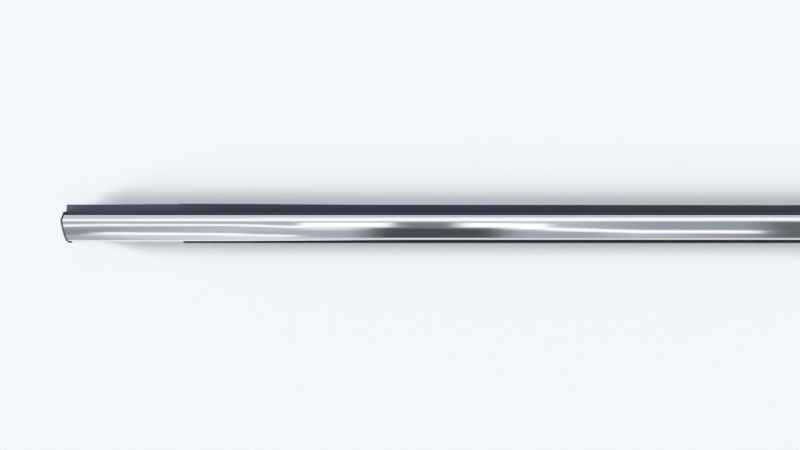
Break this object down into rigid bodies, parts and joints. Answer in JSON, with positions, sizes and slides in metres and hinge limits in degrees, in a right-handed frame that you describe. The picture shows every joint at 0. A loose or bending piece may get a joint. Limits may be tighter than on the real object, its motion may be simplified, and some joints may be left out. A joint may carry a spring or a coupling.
{
  "type": "window moulding",
  "caption": "Outer belt moulding for a car door: a bright steel strip folded over a black channel carrier with soft glass and panel lips and an end cap at each end",
  "frame": {"origin": "centre of the length and of the width, on the surface that the moulding lies on", "axes": "+X along the length, away from the raked end; +Y from the door skin to the glass edge; +Z out of the bright face"},
  "size_m": [0.8, 0.022, 0.014],
  "materials": {
    "bright_steel": "bright rolled stainless steel, polished",
    "carrier_black": "extruded black polypropylene, satin",
    "soft_black": "extruded soft rubber, flocked where it meets the glass",
    "cap_grey": "moulded dark grey plastic, fine satin"
  },
  "bodies": {
    "root": {"bright_strip": "bright_steel", "carrier": "carrier_black", "top_lip": "soft_black", "panel_lip": "soft_black", "upper_glass_lip": "soft_black", "lower_glass_lip": "soft_black", "end_cap_left": "cap_grey", "end_cap_right": "cap_grey"}
  },
  "joints": []
}
